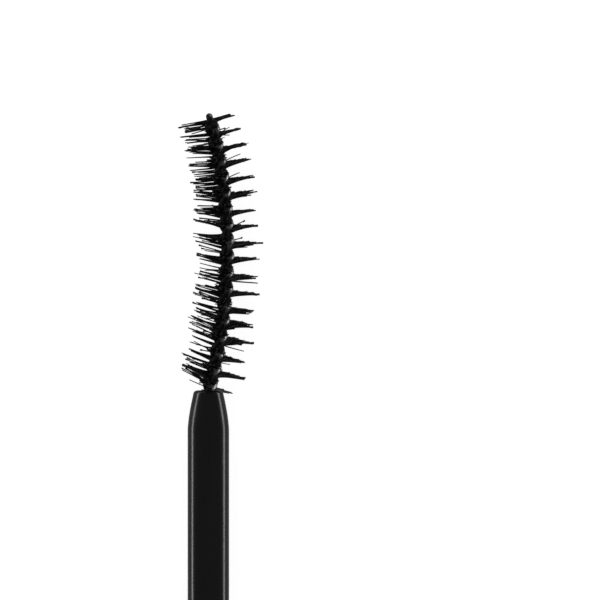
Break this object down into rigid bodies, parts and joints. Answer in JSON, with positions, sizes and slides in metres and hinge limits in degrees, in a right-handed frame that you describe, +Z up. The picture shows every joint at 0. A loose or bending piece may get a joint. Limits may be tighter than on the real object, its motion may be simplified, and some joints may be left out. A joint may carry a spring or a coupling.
{
  "type": "mascara tube with brush wand",
  "caption": "Opened mascara: a cap and stem carrying a curved twisted-wire brush, lying in line with the threaded tube that it screws onto.",
  "frame": {"origin": "middle of the footprint of the opened mascara, on the table", "axes": "+Y along the wand, from the cap's closed end to the tube's base; +X the way the brush bows out; +Z up from the table"},
  "size_m": [0.018, 0.2318, 0.018],
  "materials": {
    "stem_plastic": "satin moulded black",
    "wire": "drawn stainless wire, darkened by residue",
    "bristle_nylon": "black nylon filament",
    "liner_plastic": "natural moulded liner",
    "seal": "soft white washer",
    "weight_steel": "turned steel",
    "case_plastic": "gloss black",
    "trim_metal": "brushed and anodised",
    "paste": "wet black paste",
    "bottle_plastic": "moulded dark grey",
    "wiper_plastic": "soft translucent white"
  },
  "bodies": {
    "wand": {"stem": "stem_plastic", "brush_wire": "wire", "bristles": "bristle_nylon", "inner_cap": "liner_plastic", "cap_seal": "seal", "cap_weight": "weight_steel", "cap_shell": "case_plastic", "cap_end": "case_plastic", "cap_trim_ring": "trim_metal"},
    "paste": {"mascara_paste": "paste"},
    "collar": {"neck_collar": "trim_metal"},
    "tube": {"bottle": "bottle_plastic", "wiper": "wiper_plastic", "tube_shell": "case_plastic", "bottle_spacer": "liner_plastic", "base_plug": "case_plastic"}
  },
  "joints": [
    {"name": "pull", "type": "slide", "parent": "wand", "child": "paste", "axis": [0, -1, 0], "range_m": [0, 0.09515], "deforming": ["bristles", "wiper", "mascara_paste"]},
    {"name": "thread_advance", "type": "slide", "parent": "paste", "child": "collar", "axis": [0, -1, 0], "range_m": [0, 0.00375]},
    {"name": "turn", "type": "hinge", "parent": "collar", "child": "tube", "pos_m": [0, 0.06, 0.009], "axis": [0, -1, 0], "range_deg": [0, 540]}
  ],
  "couplings": [
    {"joint": "thread_advance", "follows": "turn", "m_per_rad": 0.00039789}
  ]
}
